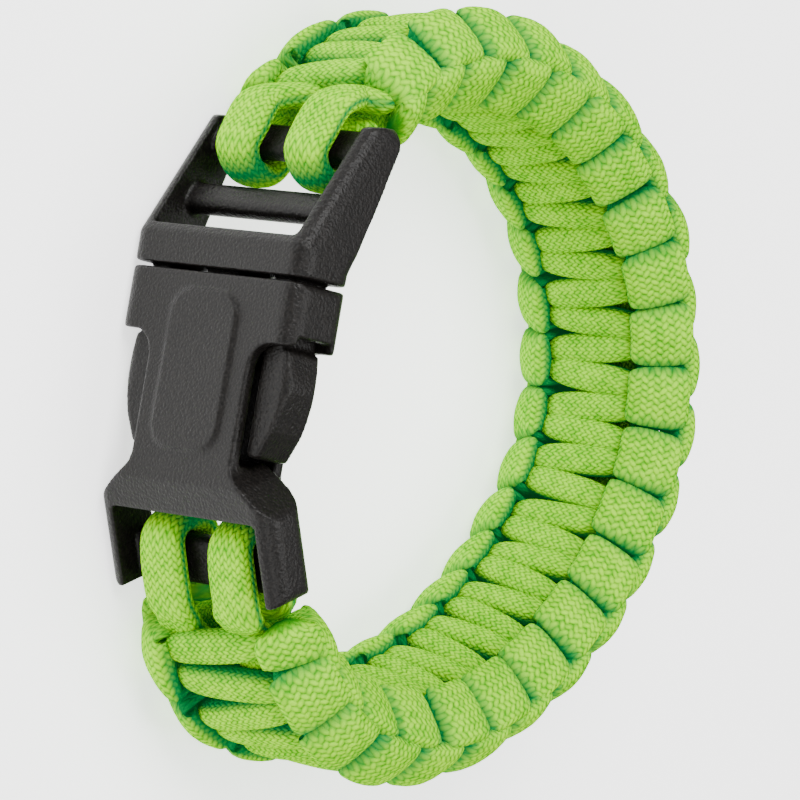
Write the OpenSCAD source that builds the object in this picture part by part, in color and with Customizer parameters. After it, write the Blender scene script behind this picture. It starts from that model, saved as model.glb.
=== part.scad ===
// Knotted cord bracelet with a fastened side release buckle, lying on its side.
// The loop's axis is +Z, the buckle lies towards -Y, and its long side runs along X.
// The origin is the middle of the outline, on the surface that the bracelet lies on.

/* [Band] */
// Mean radius of the band's middle line
loop_r = 36; // [32:0.5:40]
// Width of the knotted band, from edge to edge
band_w = 21.5; // [20:0.5:23]
// Thickness of the knotted band
band_t = 9.6; // [9:0.2:11]
// Length of band that one half knot takes
knot_pitch = 3.7; // [3.6:0.1:4.4]
// Length of the cord legs between a buckle bar and the first knot
leg_l = 6.4; // [6:0.2:8]

/* [Cord] */
// Diameter of the cord before it is pulled tight
cord_d = 4; // [3.8:0.1:4.2]
// Space left between a cord and what it passes
cord_gap = 0.15; // [0.1:0.05:0.3]

/* [Buckle] */
// Width of the buckle's two end frames
frame_w = 24.2; // [24:0.2:28]
// Clear width of the cord slots
slot_w = 20; // [18:0.5:20]
// Thickness of the end frames
frame_t = 6; // [5.6:0.2:7]
// Thickness of the buckle's body
body_t = 8.4; // [8:0.2:10]
// Radius of the body's long edges
edge_r = 2; // [1.2:0.2:2.6]
// Length of the socket's body, from its mouth to its bend
socket_l = 22; // [21.5:0.5:26]
// Inward bend of the socket's end frame, in degrees
socket_bend = 26; // [20:1:30]
// Length of the solid base of the plug
base_l = 3.4; // [3:0.2:5]
// Inward bend of the plug's frame, in degrees
plug_bend = 30; // [24:1:34]
// Gap between the plug's base and the socket's mouth
mouth_gap = 0.5; // [0.3:0.1:0.8]
// Clearance between the plug's arms and the socket
arm_gap = 0.3; // [0.2:0.05:0.5]

/* [Frames] */
// Distance from the socket's bend to its cord slot
shoulder_l = 3.8; // [3.4:0.2:5]
// Length of the cord slot in the socket's end frame
socket_slot_l = 3.6; // [3.4:0.2:5]
// Length of the cord bar in the socket's end frame
socket_bar_l = 5.4; // [5:0.2:6.4]
// Length of the plug's slot beside its base
low_slot_l = 4.2; // [3.6:0.2:5]
// Length of the plug's middle bar
mid_bar_l = 3.4; // [3:0.2:5]
// Length of the plug's slot that the cords pass through
top_slot_l = 3.6; // [3.4:0.2:5]
// Length of the plug's end bar
plug_bar_l = 4; // [3.4:0.2:5]
// Thickness of the cord bars
bar_t = 2.6; // [2.2:0.2:3]

/* [Body details] */
// Width of the strip between the two side windows
waist_w = 14; // [13:0.5:15]
// Distance from the mouth to the windows
ear_l = 6.6; // [6:0.2:8]
// Distance from the mouth to the end of the windows
window_end = 20.4; // [19:0.2:21]
// Wall of the socket in front of and behind its hollow
shell_t = 1.5; // [1.2:0.1:1.8]
// Width of the raised panel
panel_w = 9.2; // [8:0.2:10]
// Length of the raised panel
panel_l = 16.6; // [14:0.2:18]
// Height of the raised panel
panel_rise = 0.4; // [0.2:0.1:0.6]
// Distance from the mouth to the raised panel
panel_from = 1.9; // [1.5:0.1:3]

/* [Hidden] */
$fn = 48;

// Places and sizes that follow from the ones above. The centre is that of the outline.
buckle_z = frame_w/2;
band_z = 0.52*band_w;
centre_x = -0.0124*loop_r;
centre_y = 0.0757*loop_r;
body_y = -0.866*loop_r - centre_y;
mouth_x = -0.225*loop_r - centre_x;
outer_y = body_y - body_t/2;
leg_t = 0.7*cord_d;
leg_w = 1.45*cord_d;
leg_z = 1.2*cord_d;
core_z = 0.53*cord_d;
socket_bar_y = leg_t + cord_gap + bar_t/2;
socket_bar_x = shoulder_l + socket_slot_l + socket_bar_l/2;
socket_frame_l = shoulder_l + socket_slot_l + socket_bar_l;
low_slot_x = 0.13*body_t;
mid_bar_x = low_slot_x + low_slot_l;
top_slot_x = mid_bar_x + mid_bar_l;
plug_bar_from = top_slot_x + top_slot_l;
plug_bar_x = plug_bar_from + plug_bar_l/2;
plug_frame_l = plug_bar_from + plug_bar_l;
plug_end_t = 0.75*frame_t;
plug_nose = 0.3*frame_t;
mid_bar_in = 0.37*frame_t;
plug_bar_y = frame_t/6 + bar_t/2;
base_x = mouth_x - mouth_gap - base_l;
seam = 0.1*shell_t;
bar_r = 0.42*bar_t;
// Small forms of the mouldings
flare_slope = 0.95;
end_wall_t = 0.6;
foot_cut = 0.8;
nose_cut = 1.2;
tab_in = 0.6;
tip_gap = 2;
side_guide_w = 2.4;
side_guide_out = 1.9;
guide_w = 4.8;
hollow_t = body_t - 2*shell_t;
hollow_w = frame_w - 2.4*shell_t;

// Rounded outlines: a row is a corner's first and second coordinate and its radius
function unit(v) = v/norm(v);
function corner_arc(a, b, c, r, steps = 5) =
    let (u = unit(a - b), w = unit(c - b), half = acos(u*w)/2,
         middle = b + unit(u + w)*r/sin(half),
         from = b + u*r/tan(half) - middle, to = b + w*r/tan(half) - middle,
         start = atan2(from.y, from.x),
         turn = (atan2(to.y, to.x) - start + 540) % 360 - 180)
    [for (i = [0:steps]) middle + r*[cos(start + turn*i/steps), sin(start + turn*i/steps)]];
function corner_points(a, b, c) =
    b[2] > 0 ? corner_arc([a[0], a[1]], [b[0], b[1]], [c[0], c[1]], b[2]) : [[b[0], b[1]]];
function rounded(rows) =
    let (n = len(rows))
    [for (i = [0:n - 1]) for (p = corner_points(rows[(i + n - 1) % n], rows[i], rows[(i + 1) % n])) p];
function both_sides(rows) =
    concat(rows, [for (i = [len(rows) - 1:-1:0]) [rows[i][0], -rows[i][1], rows[i][2]]]);

// A plate: an outline of lengths and widths, from_y to to_y thick
module plate(rows, from_y, to_y) {
    translate([0, to_y, 0]) rotate([90, 0, 0]) linear_extrude(to_y - from_y) polygon(rounded(rows));
}

// A bar along X with rounded long edges, from_y to to_y thick
module rounded_bar(from_x, to_x, w, from_y, to_y, r) {
    translate([from_x, 0, 0]) rotate([90, 0, 90]) linear_extrude(to_x - from_x)
        polygon(rounded([[from_y, -w/2, r], [to_y, -w/2, r], [to_y, w/2, r], [from_y, w/2, r]]));
}

// The socket's body in its own place: its mouth at x = 0, its outer face at y = 0
module socket_body() {
    half = frame_w/2;
    waist = waist_w/2;
    flare = [window_end, waist, 2.4];
    shoulder = [window_end + (half - waist)*flare_slope, half, 1.4];
    difference() {
        intersection() {
            rounded_bar(0, socket_l + 1, frame_w, 0, body_t, edge_r);
            plate(both_sides([[0, half, 0.8], [ear_l, half, 0.8], [ear_l, waist, 2.6], flare, shoulder,
                              [shoulder[0] + frame_t, half, 0]]), -1, body_t + 1);
        }
        rounded_bar(-1, window_end - 1, hollow_w, shell_t, body_t - shell_t, 0.5);
        for (side = [-1, 1]) translate([0, 0, side*(waist + hollow_w/2)])
            rounded_bar(ear_l - 1, socket_l - end_wall_t, hollow_w, shell_t, body_t - shell_t, 0.5);
        translate([socket_l, 0, 0]) rotate([0, 0, socket_bend]) translate([0, -frame_w, -frame_w])
            cube([frame_w, frame_w, 2*frame_w]);
    }
    translate([panel_from, 0, 0])
        plate(both_sides([[0, panel_w/2, 2.6], [panel_l, panel_w/2, 2.6]]), -panel_rise, 0.5);
}

// A rounded cord bar across a frame's opening, its middle at x and y
module cord_bar(x, y, l) {
    translate([x, y, 0]) linear_extrude(slot_w + 1, center = true)
        polygon(rounded([[-l/2, -bar_t/2, bar_r], [l/2, -bar_t/2, bar_r], [l/2, bar_t/2, bar_r],
                         [-l/2, bar_t/2, bar_r]]));
}

// The socket's end frame: its bend at x = 0, its outer face at y = 0
module socket_frame() {
    half = frame_w/2;
    waist = waist_w/2;
    flare_z = waist + (socket_l - window_end)/flare_slope;
    difference() {
        intersection() {
            rounded_bar(-1, socket_frame_l, frame_w, 0, frame_t, edge_r);
            plate(both_sides([[-1, flare_z - 1.6, 0], [seam, flare_z + seam, 0],
                              [(half - flare_z)*flare_slope, half, 1.4], [socket_frame_l, half, 1.4]]),
                  -1, frame_t + 1);
            linear_extrude(2*frame_w, center = true)
                polygon([[-1, 0.6], [seam, 0], [socket_frame_l, 0], [socket_frame_l, frame_t],
                         [-1, frame_t]]);
        }
        translate([shoulder_l, -1, -slot_w/2]) cube([socket_frame_l, frame_t + 2, slot_w]);
    }
    cord_bar(socket_bar_x, socket_bar_y, socket_bar_l);
}

module buckle_socket() {
    color("#2e2d2c") translate([mouth_x, outer_y, buckle_z]) {
        socket_body();
        translate([socket_l, 0, 0]) rotate([0, 0, socket_bend]) socket_frame();
    }
}

// The plug's frame: its bend at x = 0, its outer face at y = 0, its length along +X
module plug_frame() {
    half = frame_w/2;
    difference() {
        intersection() {
            rounded_bar(0, plug_frame_l + plug_nose, frame_w, 0, body_t, edge_r);
            plate(both_sides([[0, half, 0], [plug_frame_l + plug_nose, half, 1.6]]), -1, body_t + 1);
            linear_extrude(2*frame_w, center = true)
                polygon([[0, 0], [plug_frame_l - foot_cut, 0], [plug_frame_l, foot_cut],
                         [plug_frame_l + plug_nose, plug_end_t - nose_cut],
                         [plug_frame_l + plug_nose - nose_cut, plug_end_t],
                         [1, body_t - 0.4], [0, (base_l - 0.2)/sin(plug_bend)]]);
        }
        translate([low_slot_x, -1, -slot_w/2]) cube([plug_frame_l + plug_nose, body_t + 2, slot_w]);
    }
    cord_bar(mid_bar_x + mid_bar_l/2, mid_bar_in + bar_t/2, mid_bar_l);
    cord_bar(plug_bar_x, plug_bar_y, plug_bar_l);
}

// One of the plug's arms, with the tab that shows in the socket's window
module plug_arm() {
    inner = waist_w/2 + arm_gap;
    outer = hollow_w/2 - arm_gap;
    tab = frame_w/2 - tab_in;
    tab_l = window_end - ear_l;
    tip = window_end - tip_gap;
    intersection() {
        rounded_bar(-1, window_end, frame_w - 1, shell_t + arm_gap/2, body_t - shell_t - arm_gap/2, 1.5);
        plate([[-0.5, inner, 0], [-0.5, outer, 0], [ear_l + arm_gap, outer, 0],
               [ear_l + arm_gap, tab - 0.8, 0.5],
               [ear_l + 0.3*tab_l, tab, 3], [ear_l + 0.65*tab_l, tab - 0.1*tab_l, 4],
               [tip, inner + 0.1*tab_l, 0.6], [tip, inner, 0.6]], 0, body_t);
    }
}

module buckle_plug() {
    color("#2e2d2c") translate([mouth_x, outer_y, buckle_z]) {
        rounded_bar(-mouth_gap - base_l, -mouth_gap, frame_w, 0, body_t, edge_r);
        translate([-mouth_gap - base_l, 0, 0]) rotate([0, 0, -plug_bend]) mirror([1, 0, 0]) plug_frame();
        plug_arm();
        mirror([0, 0, 1]) plug_arm();
        for (side = [-1, 1])
            translate([-mouth_gap - 0.5, shell_t + arm_gap,
                       side*(waist_w/2 + side_guide_out) - side_guide_w/2])
                cube([mouth_gap + 0.6, hollow_t - 2*arm_gap, side_guide_w]);
        translate([-mouth_gap - 0.5, shell_t + arm_gap, -guide_w/2])
            cube([window_end/2, hollow_t - 2*arm_gap, guide_w]);
    }
}

// Points of the frames, given along the frame and inward from its outer face
function turned(p, angle) = [p.x*cos(angle) - p.y*sin(angle), p.x*sin(angle) + p.y*cos(angle)];
function socket_point(along, inward) =
    [mouth_x + socket_l, outer_y] + turned([along, inward], socket_bend);
function plug_point(along, inward) = [base_x, outer_y] + turned([-along, inward], -plug_bend);

// The band's middle line: a smooth curve from bar to bar through these points. A row is an angle
// round the loop, a share of the loop's mean radius, the lean of the band there in degrees
// (its upper edge outward), a share of the band's width and the rise of the band as a share of it.
LOOP = [[-30, 1.04, -9, 1.08, 0.026], [-12, 1.02, 0, 1.02, 0.014], [8, 0.966, 10, 0.97, 0.018],
        [28, 0.912, 15, 0.96, 0.022], [50, 0.9, 13, 0.97, 0.018], [72, 0.93, 10, 0.98, 0.01],
        [94, 0.972, 9, 0.97, 0.004], [116, 0.99, 9, 0.98, 0.004], [138, 1.002, 8, 0.97, 0.003],
        [160, 1.012, 7, 0.98, 0.003], [182, 1.02, 5, 1, 0.004], [203, 1.02, 3, 1, 0.004]];
function loop_place(row) =
    [loop_r*row[1]*cos(row[0]) - centre_x, loop_r*row[1]*sin(row[0]) - centre_y, row[2], row[3], row[4]];
function bar_place(p) = [p.x, p.y, 0, 1, 0];
ROUTE = concat([bar_place(socket_point(socket_bar_x, socket_bar_y))], [for (row = LOOP) loop_place(row)],
               [bar_place(plug_point(plug_bar_x, plug_bar_y))]);
function clamp_at(list, i) =
    i < 0 ? 2*list[0] - list[1] : i >= len(list) ? 2*list[len(list) - 1] - list[len(list) - 2] : list[i];
function spline(list, t) =
    let (i = min(floor(t), len(list) - 2), f = t - i,
         a = clamp_at(list, i - 1), b = list[i], c = list[i + 1], d = clamp_at(list, i + 2))
    0.5*(2*b + (c - a)*f + (2*a - 5*b + 4*c - d)*f*f + (3*b - a - 3*c + d)*f*f*f);
function flat_length(v) = norm([v.x, v.y]);
route_steps = 12*(len(ROUTE) - 1);
route_pts = [for (i = [0:route_steps]) spline(ROUTE, i/12)];
route_lengths = [for (i = 0, s = 0; i <= route_steps;
                      s = s + (i < route_steps ? flat_length(route_pts[i + 1] - route_pts[i]) : 0),
                      i = i + 1) s];
band_l = route_lengths[route_steps];
length_to_t = [for (i = [0:route_steps]) [route_lengths[i], i/12]];

// A point of the band, given along its middle line, across it and outward from it
function route_at(along) = spline(ROUTE, lookup(along, length_to_t));
function route_dir(along) =
    let (step = 0.05*knot_pitch, d = route_at(along + step) - route_at(along - step)) unit([d.x, d.y, 0]);
function band_dir(along, across, out) =
    let (d = route_dir(along), lean = route_at(along)[2])
    (out*cos(lean) + across*sin(lean))*[d.y, -d.x, 0] + (across*cos(lean) - out*sin(lean))*[0, 0, 1];
function band_point(along, across, out) =
    let (p = route_at(along)) [p[0], p[1], band_z + p[4]*band_w] + band_dir(along, across*p[3], out);

// Swept cords: a ring is [middle, direction of the second half width, half widths]
sides = 8;
function ring_points(middle, along, toward, a, b) =
    let (e1 = unit(cross(toward, along)), e2 = cross(along, e1))
    [for (i = [0:sides - 1]) middle + a*cos(360*(i + 0.5)/sides)*e1 + b*sin(360*(i + 0.5)/sides)*e2];
function ring_dir(rings, i) =
    unit(rings[min(i + 1, len(rings) - 1)][0] - rings[max(i - 1, 0)][0]);
module swept(rings) {
    n = len(rings);
    pts = [for (i = [0:n - 1])
           for (p = ring_points(rings[i][0], ring_dir(rings, i), rings[i][1], rings[i][2], rings[i][3])) p];
    skin = [for (i = [0:n - 2]) for (j = [0:sides - 1])
            for (f = [[i*sides + j, (i + 1)*sides + j, (i + 1)*sides + (j + 1) % sides],
                      [i*sides + j, (i + 1)*sides + (j + 1) % sides, i*sides + (j + 1) % sides]]) f];
    polyhedron(concat(pts, [rings[0][0], rings[n - 1][0]]),
               concat(skin, [for (j = [0:sides - 1]) [n*sides, j, (j + 1) % sides]],
                      [for (j = [0:sides - 1])
                           [n*sides + 1, (n - 1)*sides + (j + 1) % sides, (n - 1)*sides + j]]));
}

// The knots: bars cross one face, and the cord turns round the edge into the next bar.
// Rows run from the end of a bar to the shoulder of the bump at the edge. Lengths along and
// the first half width are shares of the knot pitch, lengths across are shares of half the
// band's width, lengths out of half its thickness, the second half width of the cord.
//       along  across  out    lean  half_a  half_b
CELL = [[-0.04, 0.38,   0.76,  84,   0.45,   0.36],
        [-0.24, 0.54,   0.05,  50,   0.15,   0.40],
        [-0.29, 0.72,  -0.46,  47,   0.25,   0.54],
        [0.02,  0.775, -0.58,  46,   0.37,   0.86]];
// The rounded end of a cord in its first and last bump, from the tip on
TIP = [[1.00,  0.75,  -0.48,  46,   0.12,   0.30],
       [0.80,  0.77,  -0.56,  46,   0.33,   0.74]];
first_bar = leg_l + 0.6*cord_d;
half_knots = floor((band_l - 2*first_bar)/knot_pitch);
pitch = (band_l - 2*first_bar)/half_knots;
last = len(CELL) - 1;
function knot_ring(k, row, leaving, face) =
    let (side = k % 2 == 0 ? 1 : -1, way = leaving ? 1 : -1,
         across = side*way*row[1]*band_w/2,
         lean = side*way > 0 ? row[3] : 180 - row[3],
         along = first_bar + (k + way*row[0])*pitch)
    [band_point(along, face*across, face*row[2]*band_t/2),
     band_dir(along, face*cos(lean), face*sin(lean)), row[4]*pitch, row[5]*cord_d];
function knot_rings(k, face) =
    concat([for (i = [last:-1:0]) knot_ring(k, CELL[i], false, face)],
           [for (i = [0:last]) knot_ring(k, CELL[i], true, face)]);
function weave_rings(face) =
    concat([for (row = TIP) knot_ring(0, row, false, face)],
           [for (k = [0:half_knots]) for (r = knot_rings(k, face)) r],
           [for (i = [len(TIP) - 1:-1:0]) knot_ring(half_knots, TIP[i], true, face)]);

// A core cord: a leg inside, round the socket's bar, along the band, round the plug's bar.
// Turn rows give the share of the bar's half length and of its half thickness.
TURN = [[0.9, 1, 1], [-0.1, 1, 1], [-0.75, 0.8, 0.9], [-1, 0, 0.8], [-0.75, -0.8, 0.9], [-0.1, -1, 1],
        [0.9, -1, 1]];
function turn_ring(row, bar_x, bar_y, bar_l, z, at_plug) =
    let (reach = bar_l/2 + cord_gap + leg_t/2, rise = bar_t/2 + cord_gap + leg_t/2,
         x = bar_x + row[0]*reach, y = bar_y + row[1]*rise,
         p = at_plug ? plug_point(x, y) : socket_point(x, y))
    [[p.x, p.y, z], row[2]*leg_w/2, leg_t/2];
leg_in = leg_l - 0.4*cord_d;
leg_out = leg_l - 0.15*cord_d;
function core_rows(side) =
    let (z = buckle_z + side*leg_z, n = floor(half_knots/2))
    concat(
        [leg_row(leg_in, side, -1, 0.72)],
        [for (row = TURN) turn_ring(row, socket_bar_x, socket_bar_y, socket_bar_l, z, false)],
        [leg_row(leg_out, side, 1, 0.42)],
        [for (i = [0:n]) core_row(first_bar + i*(band_l - 2*first_bar)/n, side)],
        [leg_row(band_l - leg_out, side, 1, 0.42)],
        [for (i = [len(TURN) - 1:-1:0]) turn_ring(TURN[i], plug_bar_x, plug_bar_y, plug_bar_l, z, true)],
        [leg_row(band_l - leg_in, side, -1, 0.72)]);
function leg_row(along, side, face, share) =
    [band_point(along, side*leg_z*share, face*0.6*leg_t), 0.33*leg_w, leg_t/2];
function core_row(along, side) = [band_point(along, side*core_z, 0), 0.46*cord_d, 0.38*cord_d];
function core_rings(side) =
    let (rows = core_rows(side), n = len(rows))
    [for (i = [0:n - 1])
        let (d = unit(rows[min(i + 1, n - 1)][0] - rows[max(i - 1, 0)][0]))
        [rows[i][0], cross([0, 0, 1], d), rows[i][1], rows[i][2]]];

module core_cord_upper() {
    color("#2fa83a") swept(core_rings(1));
}

module core_cord_lower() {
    color("#2fa83a") swept(core_rings(-1));
}

module weave_cord_outer() {
    color("#8fe02a") swept(weave_rings(1));
}

module weave_cord_inner() {
    color("#84d426") swept(weave_rings(-1));
}

buckle_socket();
buckle_plug();
core_cord_upper();
core_cord_lower();
weave_cord_outer();
weave_cord_inner();
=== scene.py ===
# %% [markdown]
# # A knotted cord bracelet
#
# The bracelet lies on its side: its loop runs round the Z axis, and the fastened buckle lies
# towards -Y. Each weaving cord is one long swept tube. Its path is written in the band's own
# coordinates (along the band, across it and out of it) and is then bent round the loop.
# Lengths in this file are in millimetres until a mesh is made, which is in metres.

import bpy
import numpy as np
from mathutils import Matrix


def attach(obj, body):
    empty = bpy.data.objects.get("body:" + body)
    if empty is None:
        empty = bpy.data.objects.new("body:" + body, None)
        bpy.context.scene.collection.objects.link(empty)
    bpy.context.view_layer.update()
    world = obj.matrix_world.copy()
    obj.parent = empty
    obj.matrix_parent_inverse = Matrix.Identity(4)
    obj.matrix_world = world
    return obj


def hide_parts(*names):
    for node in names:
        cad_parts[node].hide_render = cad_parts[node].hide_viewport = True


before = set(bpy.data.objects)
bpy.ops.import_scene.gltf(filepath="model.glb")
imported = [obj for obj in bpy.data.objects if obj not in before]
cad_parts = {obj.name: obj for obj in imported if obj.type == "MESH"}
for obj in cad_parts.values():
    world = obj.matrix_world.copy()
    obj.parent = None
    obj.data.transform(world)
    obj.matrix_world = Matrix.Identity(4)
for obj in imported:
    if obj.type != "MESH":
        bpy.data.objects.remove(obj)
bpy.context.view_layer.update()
MM = 0.001

# %% [markdown]
# ## Sizes
#
# These repeat the named sizes of the part's source: the loop, the band, the cord and the
# places of the two cord bars in the buckle's bent end frames.

# %% Sizes of the band, the cord and the buckle
LOOP_R = 36.0
BAND_W = 21.5
BAND_T = 9.6
BAND_Z = 0.52*BAND_W
LEG_L = 6.4
KNOT_PITCH = 3.7
CORD_D = 4.0
LEG_T = 0.7*CORD_D
LEG_W = 1.45*CORD_D
LEG_Z = 1.2*CORD_D
CORE_Z = 0.53*CORD_D
BUCKLE_Z = 12.1
BODY_T = 8.4
CENTRE = (-0.0124*LOOP_R, 0.0757*LOOP_R)
OUTER_Y = -0.866*LOOP_R - CENTRE[1] - BODY_T/2
MOUTH_X = -0.225*LOOP_R - CENTRE[0]
BAR_T = 2.6
CORD_GAP = 0.15
SOCKET_L = 22
SOCKET_BEND = 26.0
SOCKET_BEND_X = MOUTH_X + SOCKET_L
MOUTH_GAP = 0.5
PLUG_BASE_L = 3.4
PLUG_BEND = 30.0
PLUG_BEND_X = MOUTH_X - MOUTH_GAP - PLUG_BASE_L
# A cord bar: its middle along the frame and inward from its outer face, and its own length
SOCKET_BAR = (10.1, LEG_T + CORD_GAP + BAR_T/2, 5.4)
PLUG_BAR = (14.3, 1 + BAR_T/2, 4.0)


def socket_point(along, inward):
    """A point of the socket's end frame: along it from its bend, and inward from its outer face."""
    turn = np.radians(SOCKET_BEND)
    x = SOCKET_BEND_X + along*np.cos(turn) - inward*np.sin(turn)
    return x, OUTER_Y + along*np.sin(turn) + inward*np.cos(turn)


def plug_point(along, inward):
    """The same for the plug's frame, which runs towards -X."""
    turn = np.radians(-PLUG_BEND)
    x = PLUG_BEND_X - along*np.cos(turn) - inward*np.sin(turn)
    return x, OUTER_Y - along*np.sin(turn) + inward*np.cos(turn)


# %% [markdown]
# ## The band's middle line
#
# A Catmull-Rom curve passes through every row that it is given: between rows b and c, with
# neighbours a and d, it is half of 2b + (c - a)t + (2a - 5b + 4c - d)t^2 + (3b - a - 3c + d)t^3.
# The same curve smooths the loop here and every cord below.

# %% The route from bar to bar
def through(rows, steps):
    """Catmull-Rom curve through the rows, with this many steps between two of them."""
    rows = np.asarray(rows, float)
    ends = np.vstack([2*rows[0] - rows[1], rows, 2*rows[-1] - rows[-2]])
    a, b, c, d = (ends[i:len(ends) - 3 + i, None] for i in range(4))
    t = (np.arange(steps)/steps)[None, :, None]
    spans = 0.5*(2*b + (c - a)*t + (2*a - 5*b + 4*c - d)*t**2 + (3*b - a - 3*c + d)*t**3)
    return np.vstack([spans.reshape(-1, rows.shape[1]), rows[-1:]])


# The angle round the loop in degrees, a share of its radius, the band's lean in degrees, a share
# of its width, and its rise as a share of that width
#        angle radius lean width rise
LOOP = [[-30, 1.040, -9, 1.08, 0.026], [-12, 1.020, 0, 1.02, 0.014], [8, 0.966, 10, 0.97, 0.018],
        [28, 0.912, 15, 0.96, 0.022], [50, 0.900, 13, 0.97, 0.018], [72, 0.930, 10, 0.98, 0.010],
        [94, 0.972, 9, 0.97, 0.004], [116, 0.990, 9, 0.98, 0.004], [138, 1.002, 8, 0.97, 0.003],
        [160, 1.012, 7, 0.98, 0.003], [182, 1.020, 5, 1.00, 0.004], [203, 1.020, 3, 1.00, 0.004]]
angle, radius, lean, width, rise = np.array(LOOP).T
angle = np.radians(angle)
ring_x = LOOP_R*radius*np.cos(angle) - CENTRE[0]
ring_y = LOOP_R*radius*np.sin(angle) - CENTRE[1]
ring_rows = np.column_stack([ring_x, ring_y, lean, width, rise])
ROUTE_STEPS = 40
route = through(np.vstack([[*socket_point(*SOCKET_BAR[:2]), 0, 1, 0], ring_rows,
                           [*plug_point(*PLUG_BAR[:2]), 0, 1, 0]]), ROUTE_STEPS)
route_s = np.concatenate([[0], np.cumsum(np.linalg.norm(np.diff(route[:, :2], axis=0), axis=1))])
BAND_L = route_s[-1]


def route_at(along):
    """Place, lean, width and rise of the band at a distance along its middle line."""
    inside = np.column_stack([np.interp(along, route_s, column) for column in route.T])
    past = np.clip(along, None, 0) + np.clip(along - BAND_L, 0, None)
    ends = np.where(past[:, None] < 0, route[1] - route[0], route[-1] - route[-2])
    return inside + past[:, None]*ends/np.linalg.norm(ends[:, :2], axis=1, keepdims=True)


# Half the stretch of band that gives its direction
NEAR = 0.2


def band_axes(along):
    """Middle of the band there, with the directions along it, across it and out of it."""
    here = route_at(along)
    step = route_at(along + NEAR) - route_at(along - NEAR)
    flat = step[:, :2]/np.linalg.norm(step[:, :2], axis=1, keepdims=True)
    zero = np.zeros(len(here))
    forward = np.column_stack([flat, zero])
    outward = np.column_stack([flat[:, 1], -flat[:, 0], zero])
    up = np.column_stack([zero, zero, zero + 1])
    lean = np.radians(here[:, 2:3])
    middle = np.column_stack([here[:, :2], BAND_Z + here[:, 4]*BAND_W])
    across = outward*np.sin(lean) + up*np.cos(lean)
    out = outward*np.cos(lean) - up*np.sin(lean)
    return middle, forward, across, out, here[:, 3:4]


first_bar = LEG_L + 0.6*CORD_D
half_knots = int((BAND_L - 2*first_bar)//KNOT_PITCH)
pitch = (BAND_L - 2*first_bar)/half_knots
print("band", round(BAND_L, 1), "mm with", half_knots, "half knots of", round(pitch, 2), "mm")

# %% [markdown]
# ## A swept cord
#
# The tube's surface is S(u, v) = M(u) + A(u) c(v) e1(u) + B(u) s(v) e2(u). M is the path,
# A and B are the half widths, and e1 and e2 span the plane across the path, e2 as near as it
# can be to a given direction. c and s are the cosine and sine of v with their sizes raised to
# a power below one, which squares the section a little, as a tightly pulled cord is.

# %% The tube surface and its mesh
def unit(vectors):
    return vectors/np.linalg.norm(vectors, axis=-1, keepdims=True)


def tube(path, toward, half_a, half_b, sides, square=0.8):
    """Points and outward normals of the tube, one row of them for each point of the path."""
    tangent = unit(np.gradient(path, axis=0))
    e1 = unit(np.cross(toward, tangent))
    e2 = np.cross(tangent, e1)
    v = 2*np.pi*np.arange(sides)/sides
    c = np.sign(np.cos(v))*np.abs(np.cos(v))**square
    s = np.sign(np.sin(v))*np.abs(np.sin(v))**square
    a, b = half_a[:, None, None], half_b[:, None, None]
    c, s = c[None, :, None], s[None, :, None]
    points = path[:, None] + a*c*e1[:, None] + b*s*e2[:, None]
    normals = unit(b*c*e1[:, None] + a*s*e2[:, None])
    return points, normals


def run_of(path):
    """Length along the path from its start to each of its points."""
    return np.concatenate([[0], np.cumsum(np.linalg.norm(np.diff(path, axis=0), axis=1))])


def end_share(path, reach):
    """1 at both ends of the path, and 0 farther than this from them."""
    run = run_of(path)
    return np.clip(1 - np.minimum(run, run[-1] - run)/reach, 0, 1)


# The rest of the circle is left open, so that the last ring keeps a width
TIP_SHARE = 0.94


def end_dome(path, reach):
    """Factor that rounds the ends off: a quarter of a circle over this length."""
    return np.sqrt(np.clip(1 - TIP_SHARE*end_share(path, reach)**2, 0, 1))


def tube_object(name, path, points, painted_shade, columns, grain, melted=0.0):
    """Closed mesh of a tube. Its UV counts the sheath's columns round it and grains along it."""
    rings, sides = points.shape[:2]
    i = np.arange(rings - 1)[:, None]*sides
    j = np.arange(sides)[None, :]
    k = (j + 1) % sides
    quads = np.stack([i + j, i + k, i + sides + k, i + sides + j], -1).reshape(-1, 4)
    caps = [list(range(sides))[::-1], list(range((rings - 1)*sides, rings*sides))]
    mesh = bpy.data.meshes.new(name)
    mesh.from_pydata((points.reshape(-1, 3)*MM).tolist(), [], quads.tolist() + caps)
    length = run_of(path)
    round_steps = np.linalg.norm(np.roll(points, -1, axis=1) - points, axis=2)
    turn = np.concatenate([np.zeros((rings, 1)), np.cumsum(round_steps, axis=1)], axis=1)
    turn *= columns/turn[:, -1:]
    turn = np.stack([turn[:-1, :-1], turn[:-1, 1:], turn[1:, 1:], turn[1:, :-1]], -1)
    reach = np.stack([length[:-1], length[:-1], length[1:], length[1:]], -1)/grain
    uv = np.stack([turn, np.broadcast_to(reach[:, None], turn.shape)], -1).reshape(-1)
    cap_uv = np.tile([0.5, 0.5], 2*sides)
    mesh.uv_layers.new(name="sheath").data.foreach_set("uv", np.concatenate([uv, cap_uv]))
    # The painted shade of each point, which darkens the cord's colour in its creases
    mesh.attributes.new("painted_shade", "FLOAT", "POINT").data.foreach_set("value", painted_shade.reshape(-1))
    melt = np.broadcast_to(np.reshape(melted, (-1, 1)), (rings, sides))
    mesh.attributes.new("melted", "FLOAT", "POINT").data.foreach_set("value", melt.reshape(-1))
    mesh.polygons.foreach_set("use_smooth", [True]*len(mesh.polygons))
    mesh.update()
    obj = bpy.data.objects.new(name, mesh)
    bpy.context.collection.objects.link(obj)
    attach(obj, "root")
    print(name, "length", round(length[-1]), "mm, triangles", 2*len(quads) + 2*sides - 4)
    return obj
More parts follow.
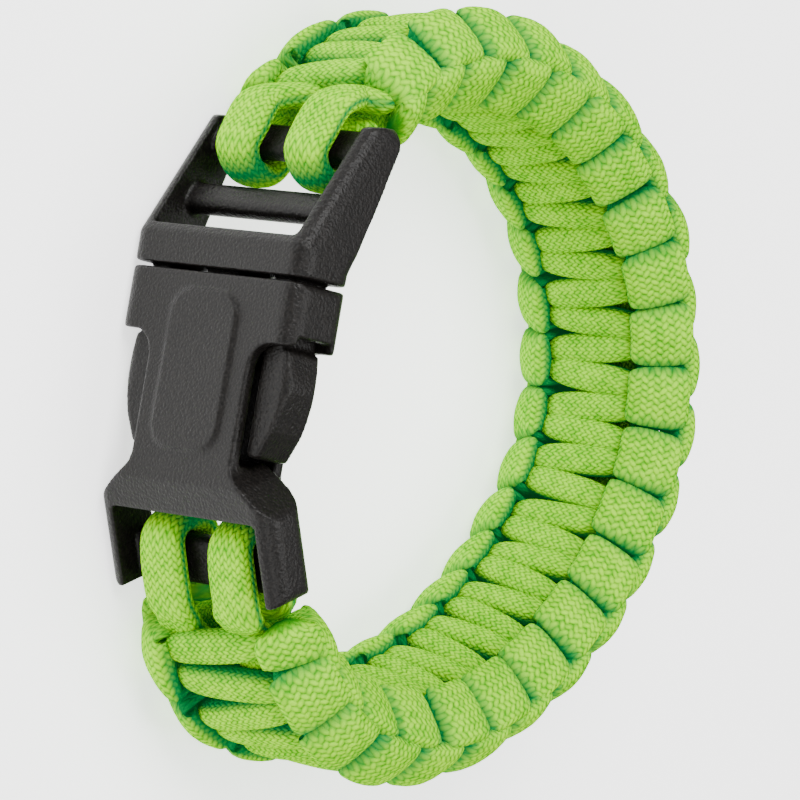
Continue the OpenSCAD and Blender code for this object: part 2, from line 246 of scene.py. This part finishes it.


# %% [markdown]
# ## The weaving cords
#
# One cord crosses the outer face and turns round the edges on the inner face. The other does
# the opposite, which is the first one turned half a turn about the band's middle line. A table
# holds a quarter of the pattern: from the middle of a bar, down through the band, to the
# middle of the bump at the edge. Every bar repeats it, mirrored from side to side. Lengths
# along and the first half width are shares of the knot pitch, lengths across are shares of
# half the band's width, lengths out of half its thickness, and the second half width is a
# share of the cord. The lean is in degrees, and deep is painted shade: 1 where the cord lies between
# others.

# %% The pattern and the rows of one weaving cord
#        along across  out    lean half_a half_b deep
CELL = [[0.00,  0.00,  0.78,   90, 0.48,  0.38,  0.0],
        [-0.07, 0.26,  0.77,   88, 0.46,  0.37,  0.0],
        [-0.13, 0.42,  0.70,   80, 0.41,  0.36,  0.1],
        [-0.18, 0.51,  0.45,   66, 0.30,  0.38,  0.5],
        [-0.24, 0.56,  0.05,   52, 0.19,  0.44,  1.0],
        [-0.31, 0.68, -0.38,   47, 0.16,  0.58,  1.0],
        [-0.29, 0.75, -0.53,   46, 0.20,  0.82,  1.0],
        [-0.14, 0.77, -0.58,   46, 0.32,  0.92,  0.15],
        [0.50,  0.775, -0.59,  46, 0.42,  0.91,  0.0]]
# The last rows of a cord, in its first and last bump, up to the tip
TIP = [[0.72,  0.775, -0.58,  46, 0.40,  0.78,  0.0],
       [0.94,  0.76,  -0.53,  46, 0.36,  0.64,  0.1]]
# Towards the plug the bars run askew, by so many millimetres at the edge, over so many knots
SKEW = 1.6
SKEW_KNOTS = 3
# How much of its rise a row keeps outside and inside of the middle line, and what share of it
# the outer rows lose at the ends of the band, over so many knots
OUTSIDE_RISE = 0.88
INSIDE_RISE = 0.94
END_LOSS = 0.2
END_KNOTS = 4
# A slow random wander along, across and out, and the seed of its first cord
WANDER = [0.17, 0.15, 0.12]
SEED = 7


def cell_rows(table, k, way):
    """The table's rows in place at bar k, leaving it (way 1) or coming to it (way -1)."""
    side = 1 if k % 2 == 0 else -1
    part = np.array(table)*[pitch, BAND_W/2, BAND_T/2, 1, pitch, CORD_D, 1]
    part[:, 0] = first_bar + k*pitch + way*part[:, 0]
    part[:, 1] *= side*way
    if side*way < 0:
        part[:, 3] = 180 - part[:, 3]
    return part


def weave_rows(face):
    """Rows along, across, out, lean, half widths and deep (painted shade), for face 1 (bars outside) or
    -1.
    """
    rows = [cell_rows(TIP[::-1], 0, -1), cell_rows(CELL[:0:-1], 0, -1)]
    for k in range(half_knots):
        rows += [cell_rows(CELL, k, 1), cell_rows(CELL[-2:0:-1], k + 1, -1)]
    rows += [cell_rows(CELL, half_knots, 1), cell_rows(TIP, half_knots, 1)]
    rows = np.vstack(rows)
    rows[:, 1:3] *= face
    from_end = np.minimum(rows[:, 0] - first_bar, BAND_L - first_bar - rows[:, 0])
    near_end = np.clip(1 - from_end/(END_KNOTS*pitch), 0, 1)
    rows[:, 2] *= np.where(rows[:, 2] > 0, OUTSIDE_RISE*(1 - END_LOSS*near_end), INSIDE_RISE)
    near_plug = np.clip((rows[:, 0] - BAND_L + first_bar)/(SKEW_KNOTS*pitch) + 1, 0, 1)
    rows[:, 0] -= SKEW*near_plug*rows[:, 1]/(BAND_W/2)
    rng = np.random.default_rng(SEED + face)
    wander = rng.normal(size=(half_knots*2 + 3, 3))*WANDER
    at = np.linspace(0, len(wander) - 1, len(rows))
    rows[:, :3] += np.column_stack([np.interp(at, np.arange(len(wander)), w) for w in wander.T])
    return rows


# Where the ramps of the painted crease shade start, and how long they are
OPEN_RAMP = (0.05, 0.5)
RIM_RAMP = (0.62, 0.25)
SIDE_RAMP = (0, 0.5)
# The sides of a core cord get painted shade where less than this share of them faces in or out
SIDE_FACING = 0.55
# The share of its painted crease shade that the first and the last knot keep
END_SHADE_SHARE = 0.3


def ramp(value, start, span):
    """0 up to the start of the ramp, and 1 from its end on."""
    return np.clip((value - start)/span, 0, 1)


def crease_shade_of(points, normals, middle, across, out):
    """Painted shade: 0 on what faces outward at the band's outside, 1 deep between the cords."""
    rel = points - middle[:, None]
    u = np.einsum("ijk,ik->ij", rel, across)/(BAND_W/2)
    w = np.einsum("ijk,ik->ij", rel, out)/(BAND_T/2)
    envelope = (np.abs(u)**3 + np.abs(w)**3)**(1/3)
    facing = (np.einsum("ijk,ik->ij", normals, across)*np.sign(u)*np.abs(u)**2/BAND_W
              + np.einsum("ijk,ik->ij", normals, out)*np.sign(w)*np.abs(w)**2/BAND_T)
    facing /= np.hypot(np.abs(u)**2/BAND_W, np.abs(w)**2/BAND_T) + 1e-6
    return 1 - ramp(facing, *OPEN_RAMP)*ramp(envelope, *RIM_RAMP)


# Rings from one row of the table to the next, and points round each ring
WEAVE_STEPS = 6
WEAVE_SIDES = 22
# Lengths of a cord's rounded end and of its melted tip, and how melted that is
DOME_L = 2.4
MELT_L = 1.0
MELT_SHARE = 0.6


def weave_cord(name, face):
    rows = through(weave_rows(face), WEAVE_STEPS)
    middle, forward, across, out, share = band_axes(rows[:, 0])
    path = middle + rows[:, 1:2]*share*across + rows[:, 2:3]*out
    lean = np.radians(rows[:, 3:4])
    toward = face*(np.cos(lean)*across + np.sin(lean)*out)
    dome = end_dome(path, DOME_L)
    spread = 1 + np.maximum(rows[:, 2], 0)/LOOP_R
    points, normals = tube(path, toward, rows[:, 4]*spread*dome, rows[:, 5]*dome, WEAVE_SIDES)
    points[:, :, 2] = np.maximum(points[:, :, 2], 0)  # the cord lies flat on the floor
    # Painted shade: dark deep between the cords, fainter at the first and the last knot
    painted_shade = np.maximum(crease_shade_of(points, normals, middle, across*share, out), rows[:, 6:7])
    from_end = np.minimum(rows[:, :1] - first_bar, BAND_L - first_bar - rows[:, :1])
    painted_shade *= np.clip(END_SHADE_SHARE + from_end/pitch, END_SHADE_SHARE, 1)
    melted = MELT_SHARE*end_share(path, MELT_L)
    return tube_object(name, path, points, painted_shade, columns=24, grain=0.8, melted=melted)


weave_outer = weave_cord("weave_outer_sheath", 1)
weave_inner = weave_cord("weave_inner_sheath", -1)
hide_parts("weave_cord_outer")
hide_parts("weave_cord_inner")

# %% [markdown]
# ## The core cords
#
# Each core cord starts inside, turns round the socket's cord bar, runs through the knots and
# turns round the plug's cord bar. It lies flat and wide on the bars.

# %% The legs round the bars and the run between them
#        along  across  width
TURN = [[0.9, 1.0, 1.0], [-0.1, 1.0, 1.0], [-0.75, 0.8, 0.92], [-1.0, 0.0, 0.85], [-0.75, -0.8, 0.92],
        [-0.1, -1.0, 1.0], [0.9, -1.0, 1.0]]
# Where the outer legs go under the first knots
#            into the knots  across  out   half width
SOCKET_LEG = [[-0.6, 0.8, 2.1, 0.46], [1.4, 0.8, 1.0, 0.44]]
SOCKET_LEG_LOW = [[-0.6, -0.95, 2.1, 0.46], [1.4, -1.05, 1.0, 0.44]]
PLUG_LEG = [[-0.6, 1.12, 2.3, 0.48], [1.8, 1.3, 0.2, 0.44]]
PLUG_LEG_LOW = [[-0.6, -0.45, 2.2, 0.48], [1.8, -0.3, 0.4, 0.44]]
# The end of a cord, inside the loop and short of the first knots: its distance back towards the
# bar, its place across and out, and its half width
END_BACK, END_ACROSS, END_OUT, END_HALF_W = 1.6, 0.72, -1.7, 0.34
# The run through the knots: half widths as shares of the cord, its rows, and where it starts
# beyond the first bar
RUN_HALF_W, RUN_HALF_T = 0.46, 0.38
RUN_ROWS, RUN_FROM = 18, 4
# Rings and points as for the weave
CORE_STEPS = 8
CORE_SIDES = 28


def turn_rows(bar, place, side):
    """Points of a cord round a bar, from the inside to the outside, with its half widths."""
    x, y, length = bar
    reach = length/2 + CORD_GAP + LEG_T/2
    rise = BAR_T/2 + CORD_GAP + LEG_T/2
    points = [place(x + row[0]*reach, y + row[1]*rise) for row in TURN]
    return [[*p, BUCKLE_Z + side*LEG_Z, row[2]*LEG_W/2, LEG_T/2] for p, row in zip(points, TURN)]


def band_row(along, across, out, half_w, half_t):
    """A row of a cord at a place of the band, with its half widths."""
    middle, _, across_dir, out_dir, _ = band_axes(np.array([along]))
    return [*(middle[0] + across*across_dir[0] + out*out_dir[0]), half_w, half_t]


def core_cord(name, side):
    socket = turn_rows(SOCKET_BAR, socket_point, side)
    plug = turn_rows(PLUG_BAR, plug_point, side)[::-1]
    inside = [band_row(s, side*END_ACROSS*LEG_Z, END_OUT, END_HALF_W*LEG_W, LEG_T/2)
              for s in (LEG_L - END_BACK, BAND_L - LEG_L + END_BACK)]
    ends = SOCKET_LEG if side > 0 else SOCKET_LEG_LOW, PLUG_LEG if side > 0 else PLUG_LEG_LOW
    outside = [[band_row(s*way + start, share*LEG_Z, out, half*LEG_W, LEG_T/2)
                for s, share, out, half in rows]
               for rows, way, start in ((ends[0], 1, LEG_L), (ends[1], -1, BAND_L - LEG_L))]
    between = [band_row(s, side*CORE_Z, 0, RUN_HALF_W*CORD_D, RUN_HALF_T*CORD_D)
               for s in np.linspace(first_bar + RUN_FROM, BAND_L - first_bar - RUN_FROM, RUN_ROWS)]
    rows = through([inside[0], *socket, *outside[0], *between, *outside[1][::-1], *plug, inside[1]],
                   CORE_STEPS)
    path = rows[:, :3]
    up = np.broadcast_to([0.0, 0.0, 1.0], path.shape)
    points, normals = tube(path, up, rows[:, 4], rows[:, 3], CORE_SIDES)
    from_middle = unit(path*[1, 1, 0])
    facing = np.abs(np.einsum("ijk,ik->ij", normals, from_middle))
    # Painted shade on the sides of a core cord that face neither in nor out
    painted_shade = ramp(SIDE_FACING - facing, *SIDE_RAMP)
    return tube_object(name, path, points, painted_shade, columns=28, grain=0.85)


core_upper = core_cord("core_upper_sheath", 1)
core_lower = core_cord("core_lower_sheath", -1)
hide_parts("core_cord_upper")
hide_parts("core_cord_lower")

# %% [markdown]
# ## The buckle
#
# The two halves keep the frame's own shape. Each gets a copy that is rebuilt on a fine grid and
# smoothed a few times, which rounds every edge as a mould does and leaves the faces where they are.

# %% Rounded copies of the two halves
# The grid's cell, and how many times it is smoothed
GRID = 0.22*MM
ROUNDS = 7


def moulded(name, node):
    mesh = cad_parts[node].data.copy()
    mesh.name = name
    mesh.materials.clear()
    obj = bpy.data.objects.new(name, mesh)
    bpy.context.collection.objects.link(obj)
    grid = obj.modifiers.new("grid", "REMESH")
    grid.mode = "VOXEL"
    grid.voxel_size = GRID
    grid.use_smooth_shade = True
    soft = obj.modifiers.new("soft edges", "SMOOTH")
    soft.factor = 0.5
    soft.iterations = ROUNDS
    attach(obj, "root")
    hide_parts(node)
    shown = obj.evaluated_get(bpy.context.evaluated_depsgraph_get()).to_mesh()
    print(name, "triangles", sum(len(face.vertices) - 2 for face in shown.polygons))
    return obj


socket = moulded("socket_moulding", "buckle_socket")
plug = moulded("plug_moulding", "buckle_plug")

# %% [markdown]
# ## Node groups
#
# The braid is built from two small groups with named inputs and outputs. Each helper below
# makes a node, sets its constants and links what it is given.

# %% Helpers for nodes
def new_group(name, inputs, outputs):
    group = bpy.data.node_groups.new(name, "ShaderNodeTree")
    for socket_name, kind, value in inputs:
        socket_in = group.interface.new_socket(socket_name, in_out="INPUT", socket_type=kind)
        if value is not None:
            socket_in.default_value = value
    for socket_name, kind in outputs:
        group.interface.new_socket(socket_name, in_out="OUTPUT", socket_type=kind)
    return group, group.nodes.new("NodeGroupInput"), group.nodes.new("NodeGroupOutput")


def put(tree, target, value):
    """Links a socket to an input, or sets the input to a constant."""
    if isinstance(value, bpy.types.NodeSocket):
        tree.links.new(value, target)
    else:
        target.default_value = value


def math(tree, operation, a, b=0.0, clamp=False):
    node = tree.nodes.new("ShaderNodeMath")
    node.operation = operation
    node.use_clamp = clamp
    put(tree, node.inputs[0], a)
    put(tree, node.inputs[1], b)
    return node.outputs[0]


def mix(tree, share, first, second):
    node = tree.nodes.new("ShaderNodeMix")
    node.data_type = "RGBA"
    put(tree, node.inputs["Factor"], share)
    put(tree, node.inputs[6], first)
    put(tree, node.inputs[7], second)
    return node.outputs[2]


def noise(tree, vector, scale, detail=2.0):
    node = tree.nodes.new("ShaderNodeTexNoise")
    put(tree, node.inputs["Vector"], vector)
    node.inputs["Scale"].default_value = scale
    node.inputs["Detail"].default_value = detail
    return node.outputs["Fac"]


# %% [markdown]
# The sheath is braided. Seen along the cord, its yarns lie in columns of short slanted grains.
# The next column is shifted by half a grain and slants the other way, and the grains of two
# columns overlap like bricks. With x and y measured from a grain's middle, its height is the
# square root of 1 - (x/0.8)^2 - (y/0.54)^2, and the braid's height is the higher column's.

# %% The braid's height from the sheath's UV
# Half sizes of a grain, counted in columns and in grains
GRAIN_HALF_X = 0.8
GRAIN_HALF_Y = 0.54


def grains_group():
    group, start, end = new_group("column of grains",
        [("Column", "NodeSocketFloat", 0.0), ("Row", "NodeSocketFloat", 0.0),
         ("Slant", "NodeSocketFloat", 0.5)],
        [("Height", "NodeSocketFloat")])
    pair = math(group, "FRACT", math(group, "MULTIPLY", start.outputs["Column"], 0.5))
    x = math(group, "MULTIPLY", math(group, "SUBTRACT", pair, 0.5), 2.0)
    row = math(group, "ADD", start.outputs["Row"], math(group, "MULTIPLY", x, start.outputs["Slant"]))
    y = math(group, "SUBTRACT", math(group, "FRACT", row), 0.5)
    x_part = math(group, "POWER", math(group, "DIVIDE", math(group, "ABSOLUTE", x), GRAIN_HALF_X), 2.0)
    y_part = math(group, "POWER", math(group, "DIVIDE", math(group, "ABSOLUTE", y), GRAIN_HALF_Y), 2.0)
    inside = math(group, "SUBTRACT", 1.0, math(group, "ADD", x_part, y_part), clamp=True)
    group.links.new(math(group, "SQRT", inside), end.inputs["Height"])
    return group


def braid_group(grains):
    group, start, end = new_group("braided sheath",
        [("Slant", "NodeSocketFloat", 0.4)], [("Height", "NodeSocketFloat")])
    uv = group.nodes.new("ShaderNodeUVMap")
    uv.uv_map = "sheath"
    split = group.nodes.new("ShaderNodeSeparateXYZ")
    group.links.new(uv.outputs["UV"], split.inputs[0])
    column, row = split.outputs["X"], split.outputs["Y"]
    heights = []
    for shift, half, sign in ((0.0, 0.0, 1.0), (1.0, 0.5, -1.0)):
        family = group.nodes.new("ShaderNodeGroup")
        family.node_tree = grains
        put(group, family.inputs["Column"], math(group, "ADD", column, shift))
        put(group, family.inputs["Row"], math(group, "ADD", row, half))
        put(group, family.inputs["Slant"], math(group, "MULTIPLY", start.outputs["Slant"], sign))
        heights.append(family.outputs["Height"])
    group.links.new(math(group, "MAXIMUM", *heights), end.inputs["Height"])
    return group


# %% The cord's material
# The light green is painted highlight on the grain tops, and random patches reach it too; the mid green
# is the cord's own tone
HIGHLIGHT_AND_PATCH_GREEN = (0.29, 0.66, 0.0, 1)
MID_GREEN = (0.05, 0.3, 0.0, 1)
# Painted shade in the creases, which is also the colour of the painted glow there
CREASE_SHADE_AND_GLOW_GREEN = (0.0, 0.15, 0.035, 1)
MELTED_GREEN = (0.005, 0.13, 0.012, 1)
# Noise in cycles per metre, and how far it moves at random the mix of mid green and highlight green
PATCHES, PATCH_SHARE = 260.0, 0.6
SPECKLES, SPECKLE_SHARE = 1100.0, 1.3
# The power that narrows the painted highlights on the tops of the grains
HIGHLIGHT_POWER = 2.2
# How dark the painted crease shade is between the grains, how much less on their tops, and its faint
# painted glow
SHADE_DEPTH, SHADE_LIFT, PAINTED_GLOW = 1.25, 0.3, 0.25
MELT_GAIN = 1.6
BRAID_RISE = 0.25*MM


def cord_material():
    material = bpy.data.materials.new("bright green cord")
    material.use_nodes = True
    tree = material.node_tree
    shader = tree.nodes["Principled BSDF"]
    braid = tree.nodes.new("ShaderNodeGroup")
    braid.node_tree = braid_group(grains_group())
    place = tree.nodes.new("ShaderNodeTexCoord").outputs["Object"]
    painted_shade = tree.nodes.new("ShaderNodeAttribute")
    painted_shade.attribute_name = "painted_shade"
    patches = noise(tree, place, PATCHES)
    speckles = noise(tree, place, SPECKLES, 1.0)
    melted = tree.nodes.new("ShaderNodeAttribute")
    melted.attribute_name = "melted"
    melt = math(tree, "MULTIPLY", melted.outputs["Fac"], MELT_GAIN, clamp=True)
    height = math(tree, "MULTIPLY", braid.outputs["Height"], math(tree, "SUBTRACT", 1.0, melt))
    uneven = math(tree, "ADD",
                  math(tree, "MULTIPLY", math(tree, "SUBTRACT", patches, 0.5), PATCH_SHARE),
                  math(tree, "MULTIPLY", math(tree, "SUBTRACT", speckles, 0.5), SPECKLE_SHARE))
    # Painted highlight on the grain tops, moved at random by the patches and speckles
    lit = math(tree, "ADD", math(tree, "POWER", height, HIGHLIGHT_POWER), uneven, clamp=True)
    face = mix(tree, lit, MID_GREEN, HIGHLIGHT_AND_PATCH_GREEN)
    # Painted shade in the creases, less on the tops of the grains
    crease_shade = math(tree, "MULTIPLY", painted_shade.outputs["Fac"],
                math(tree, "SUBTRACT", SHADE_DEPTH, math(tree, "MULTIPLY", height, SHADE_LIFT)),
                clamp=True)
    shaded = mix(tree, crease_shade, face, CREASE_SHADE_AND_GLOW_GREEN)
    tree.links.new(mix(tree, melt, shaded, MELTED_GREEN), shader.inputs["Base Color"])
    bump = tree.nodes.new("ShaderNodeBump")
    bump.inputs["Strength"].default_value = 0.9
    bump.inputs["Distance"].default_value = BRAID_RISE
    tree.links.new(height, bump.inputs["Height"])
    tree.links.new(bump.outputs["Normal"], shader.inputs["Normal"])
    shader.inputs["Roughness"].default_value = 0.6
    shader.inputs["Specular IOR Level"].default_value = 0.0
    # A faint painted glow in the shaded creases, which stands in for light bounced between the cords
    shader.inputs["Emission Color"].default_value = CREASE_SHADE_AND_GLOW_GREEN
    tree.links.new(math(tree, "MULTIPLY", crease_shade, PAINTED_GLOW), shader.inputs["Emission Strength"])
    return material


green = cord_material()
for piece in (weave_outer, weave_inner, core_upper, core_lower):
    piece.data.materials.append(green)

# %% [markdown]
# The buckle is black plastic with a fine pebble grain from its mould, its pebble tops painted lighter
# as painted highlight.

# %% The buckle's material
# Painted shade in the pits of the pebbles, and painted highlight on their tops
SHADED_PIT_BLACK = (0.0022, 0.0018, 0.0015, 1)
LIT_TOP_BLACK = (0.0062, 0.0052, 0.0044, 1)
# Noise in cycles per metre: the pebbles, and broad patches of a little more roughness
PEBBLES = 3200.0
BROAD = 180.0
# The noise at which a pebble's painted highlight starts, and how steeply it rises
PEBBLE_FROM, PEBBLE_GAIN = 0.38, 4.0
LEAST_ROUGH, MORE_ROUGH = 0.34, 0.14
PEBBLE_RISE = 0.1*MM


def plastic_material():
    material = bpy.data.materials.new("grained black plastic")
    material.use_nodes = True
    tree = material.node_tree
    shader = tree.nodes["Principled BSDF"]
    place = tree.nodes.new("ShaderNodeTexCoord").outputs["Object"]
    pebbles = noise(tree, place, PEBBLES, 1.0)
    broad = noise(tree, place, BROAD, 3.0)
    # Pebble tops painted lighter than the pits: painted highlight and shade of the grain
    lit_tops = math(tree, "MULTIPLY", math(tree, "SUBTRACT", pebbles, PEBBLE_FROM), PEBBLE_GAIN, clamp=True)
    tree.links.new(mix(tree, lit_tops, SHADED_PIT_BLACK, LIT_TOP_BLACK), shader.inputs["Base Color"])
    rough = math(tree, "ADD", math(tree, "MULTIPLY", broad, MORE_ROUGH), LEAST_ROUGH)
    tree.links.new(rough, shader.inputs["Roughness"])
    shader.inputs["Specular IOR Level"].default_value = 0.18
    bump = tree.nodes.new("ShaderNodeBump")
    bump.inputs["Strength"].default_value = 1.0
    bump.inputs["Distance"].default_value = PEBBLE_RISE
    tree.links.new(pebbles, bump.inputs["Height"])
    tree.links.new(bump.outputs["Normal"], shader.inputs["Normal"])
    return material


black = plastic_material()
for piece in (socket, plug):
    piece.data.materials.append(black)

# %% [markdown]
# ## Stage, light and camera
#
# A pale floor and broad soft lights. The camera looks down at the loop from the buckle's side
# and is rolled so that the loop's axis runs across the picture.

# %% The floor
floor_mesh = bpy.data.meshes.new("floor")
FLOOR_HALF = 3.0  # metres
corners = [(-FLOOR_HALF, -FLOOR_HALF, 0), (FLOOR_HALF, -FLOOR_HALF, 0),
           (FLOOR_HALF, FLOOR_HALF, 0), (-FLOOR_HALF, FLOOR_HALF, 0)]
floor_mesh.from_pydata(corners, [], [(0, 1, 2, 3)])
floor = bpy.data.objects.new("floor", floor_mesh)
bpy.context.collection.objects.link(floor)
floor_paint = bpy.data.materials.new("pale floor")
floor_paint.use_nodes = True
paint = floor_paint.node_tree.nodes["Principled BSDF"].inputs
paint["Base Color"].default_value = (0.93, 0.93, 0.93, 1)
paint["Roughness"].default_value = 0.9
paint["Emission Color"].default_value = (1, 1, 1, 1)
paint["Emission Strength"].default_value = 1.5
floor_mesh.materials.append(floor_paint)

# %% The camera
# Angles in radians, and the distance and the slides across the view in millimetres
ELEVATION = 0.6993
AZIMUTH = 0.0665
ROLL = 1.6969
DISTANCE = 556.61
SLIDE_RIGHT = 7.70
SLIDE_UP = -1.228
FOCAL_PIXELS = 5060.2
FRAME_PIXELS = 800
SENSOR = 36.0

back = np.array([np.sin(AZIMUTH)*np.cos(ELEVATION), -np.cos(AZIMUTH)*np.cos(ELEVATION),
                 np.sin(ELEVATION)])
level = unit(np.cross(-back, [0, 0, 1]))
upright = np.cross(level, -back)
right = np.cos(ROLL)*level + np.sin(ROLL)*upright
up = -np.sin(ROLL)*level + np.cos(ROLL)*upright
place = back*DISTANCE + SLIDE_RIGHT*right + SLIDE_UP*up - [*CENTRE, 0]

lens = bpy.data.cameras.new("camera")
lens.sensor_width = SENSOR
lens.lens = FOCAL_PIXELS/FRAME_PIXELS*SENSOR
lens.clip_start = 0.01
camera = bpy.data.objects.new("camera", lens)
bpy.context.collection.objects.link(camera)
turned = np.eye(4)
turned[:3, :3] = np.column_stack([right, up, back])
turned[:3, 3] = place*MM
camera.matrix_world = Matrix(turned.tolist())
bpy.context.scene.camera = camera


# %% The lights
BAND_MIDDLE = [0, 0, 0.012]
WORLD_STRENGTH = 0.45


def area_light(name, position, size, power):
    """A soft light that faces the middle of the bracelet, placed in metres."""
    data = bpy.data.lights.new(name, "AREA")
    data.shape = "DISK"
    data.size = size
    data.energy = power
    lamp = bpy.data.objects.new(name, data)
    bpy.context.collection.objects.link(lamp)
    away = unit(np.array(position) - BAND_MIDDLE)
    side = unit(np.cross([0.1, 0.2, 1.0], away))
    pose = np.eye(4)
    pose[:3, :3] = np.column_stack([side, np.cross(away, side), away])
    pose[:3, 3] = position
    lamp.matrix_world = Matrix(pose.tolist())
    return lamp


area_light("key", (-0.45, -0.35, 0.55), 0.5, 9.0)
area_light("fill", (0.5, -0.5, 0.6), 0.7, 6.0)
area_light("top", (0.0, 0.25, 0.8), 0.6, 6.0)
world = bpy.data.worlds.new("studio")
world.use_nodes = True
world.node_tree.nodes["Background"].inputs["Color"].default_value = (1, 1, 1, 1)
world.node_tree.nodes["Background"].inputs["Strength"].default_value = WORLD_STRENGTH
bpy.context.scene.world = world
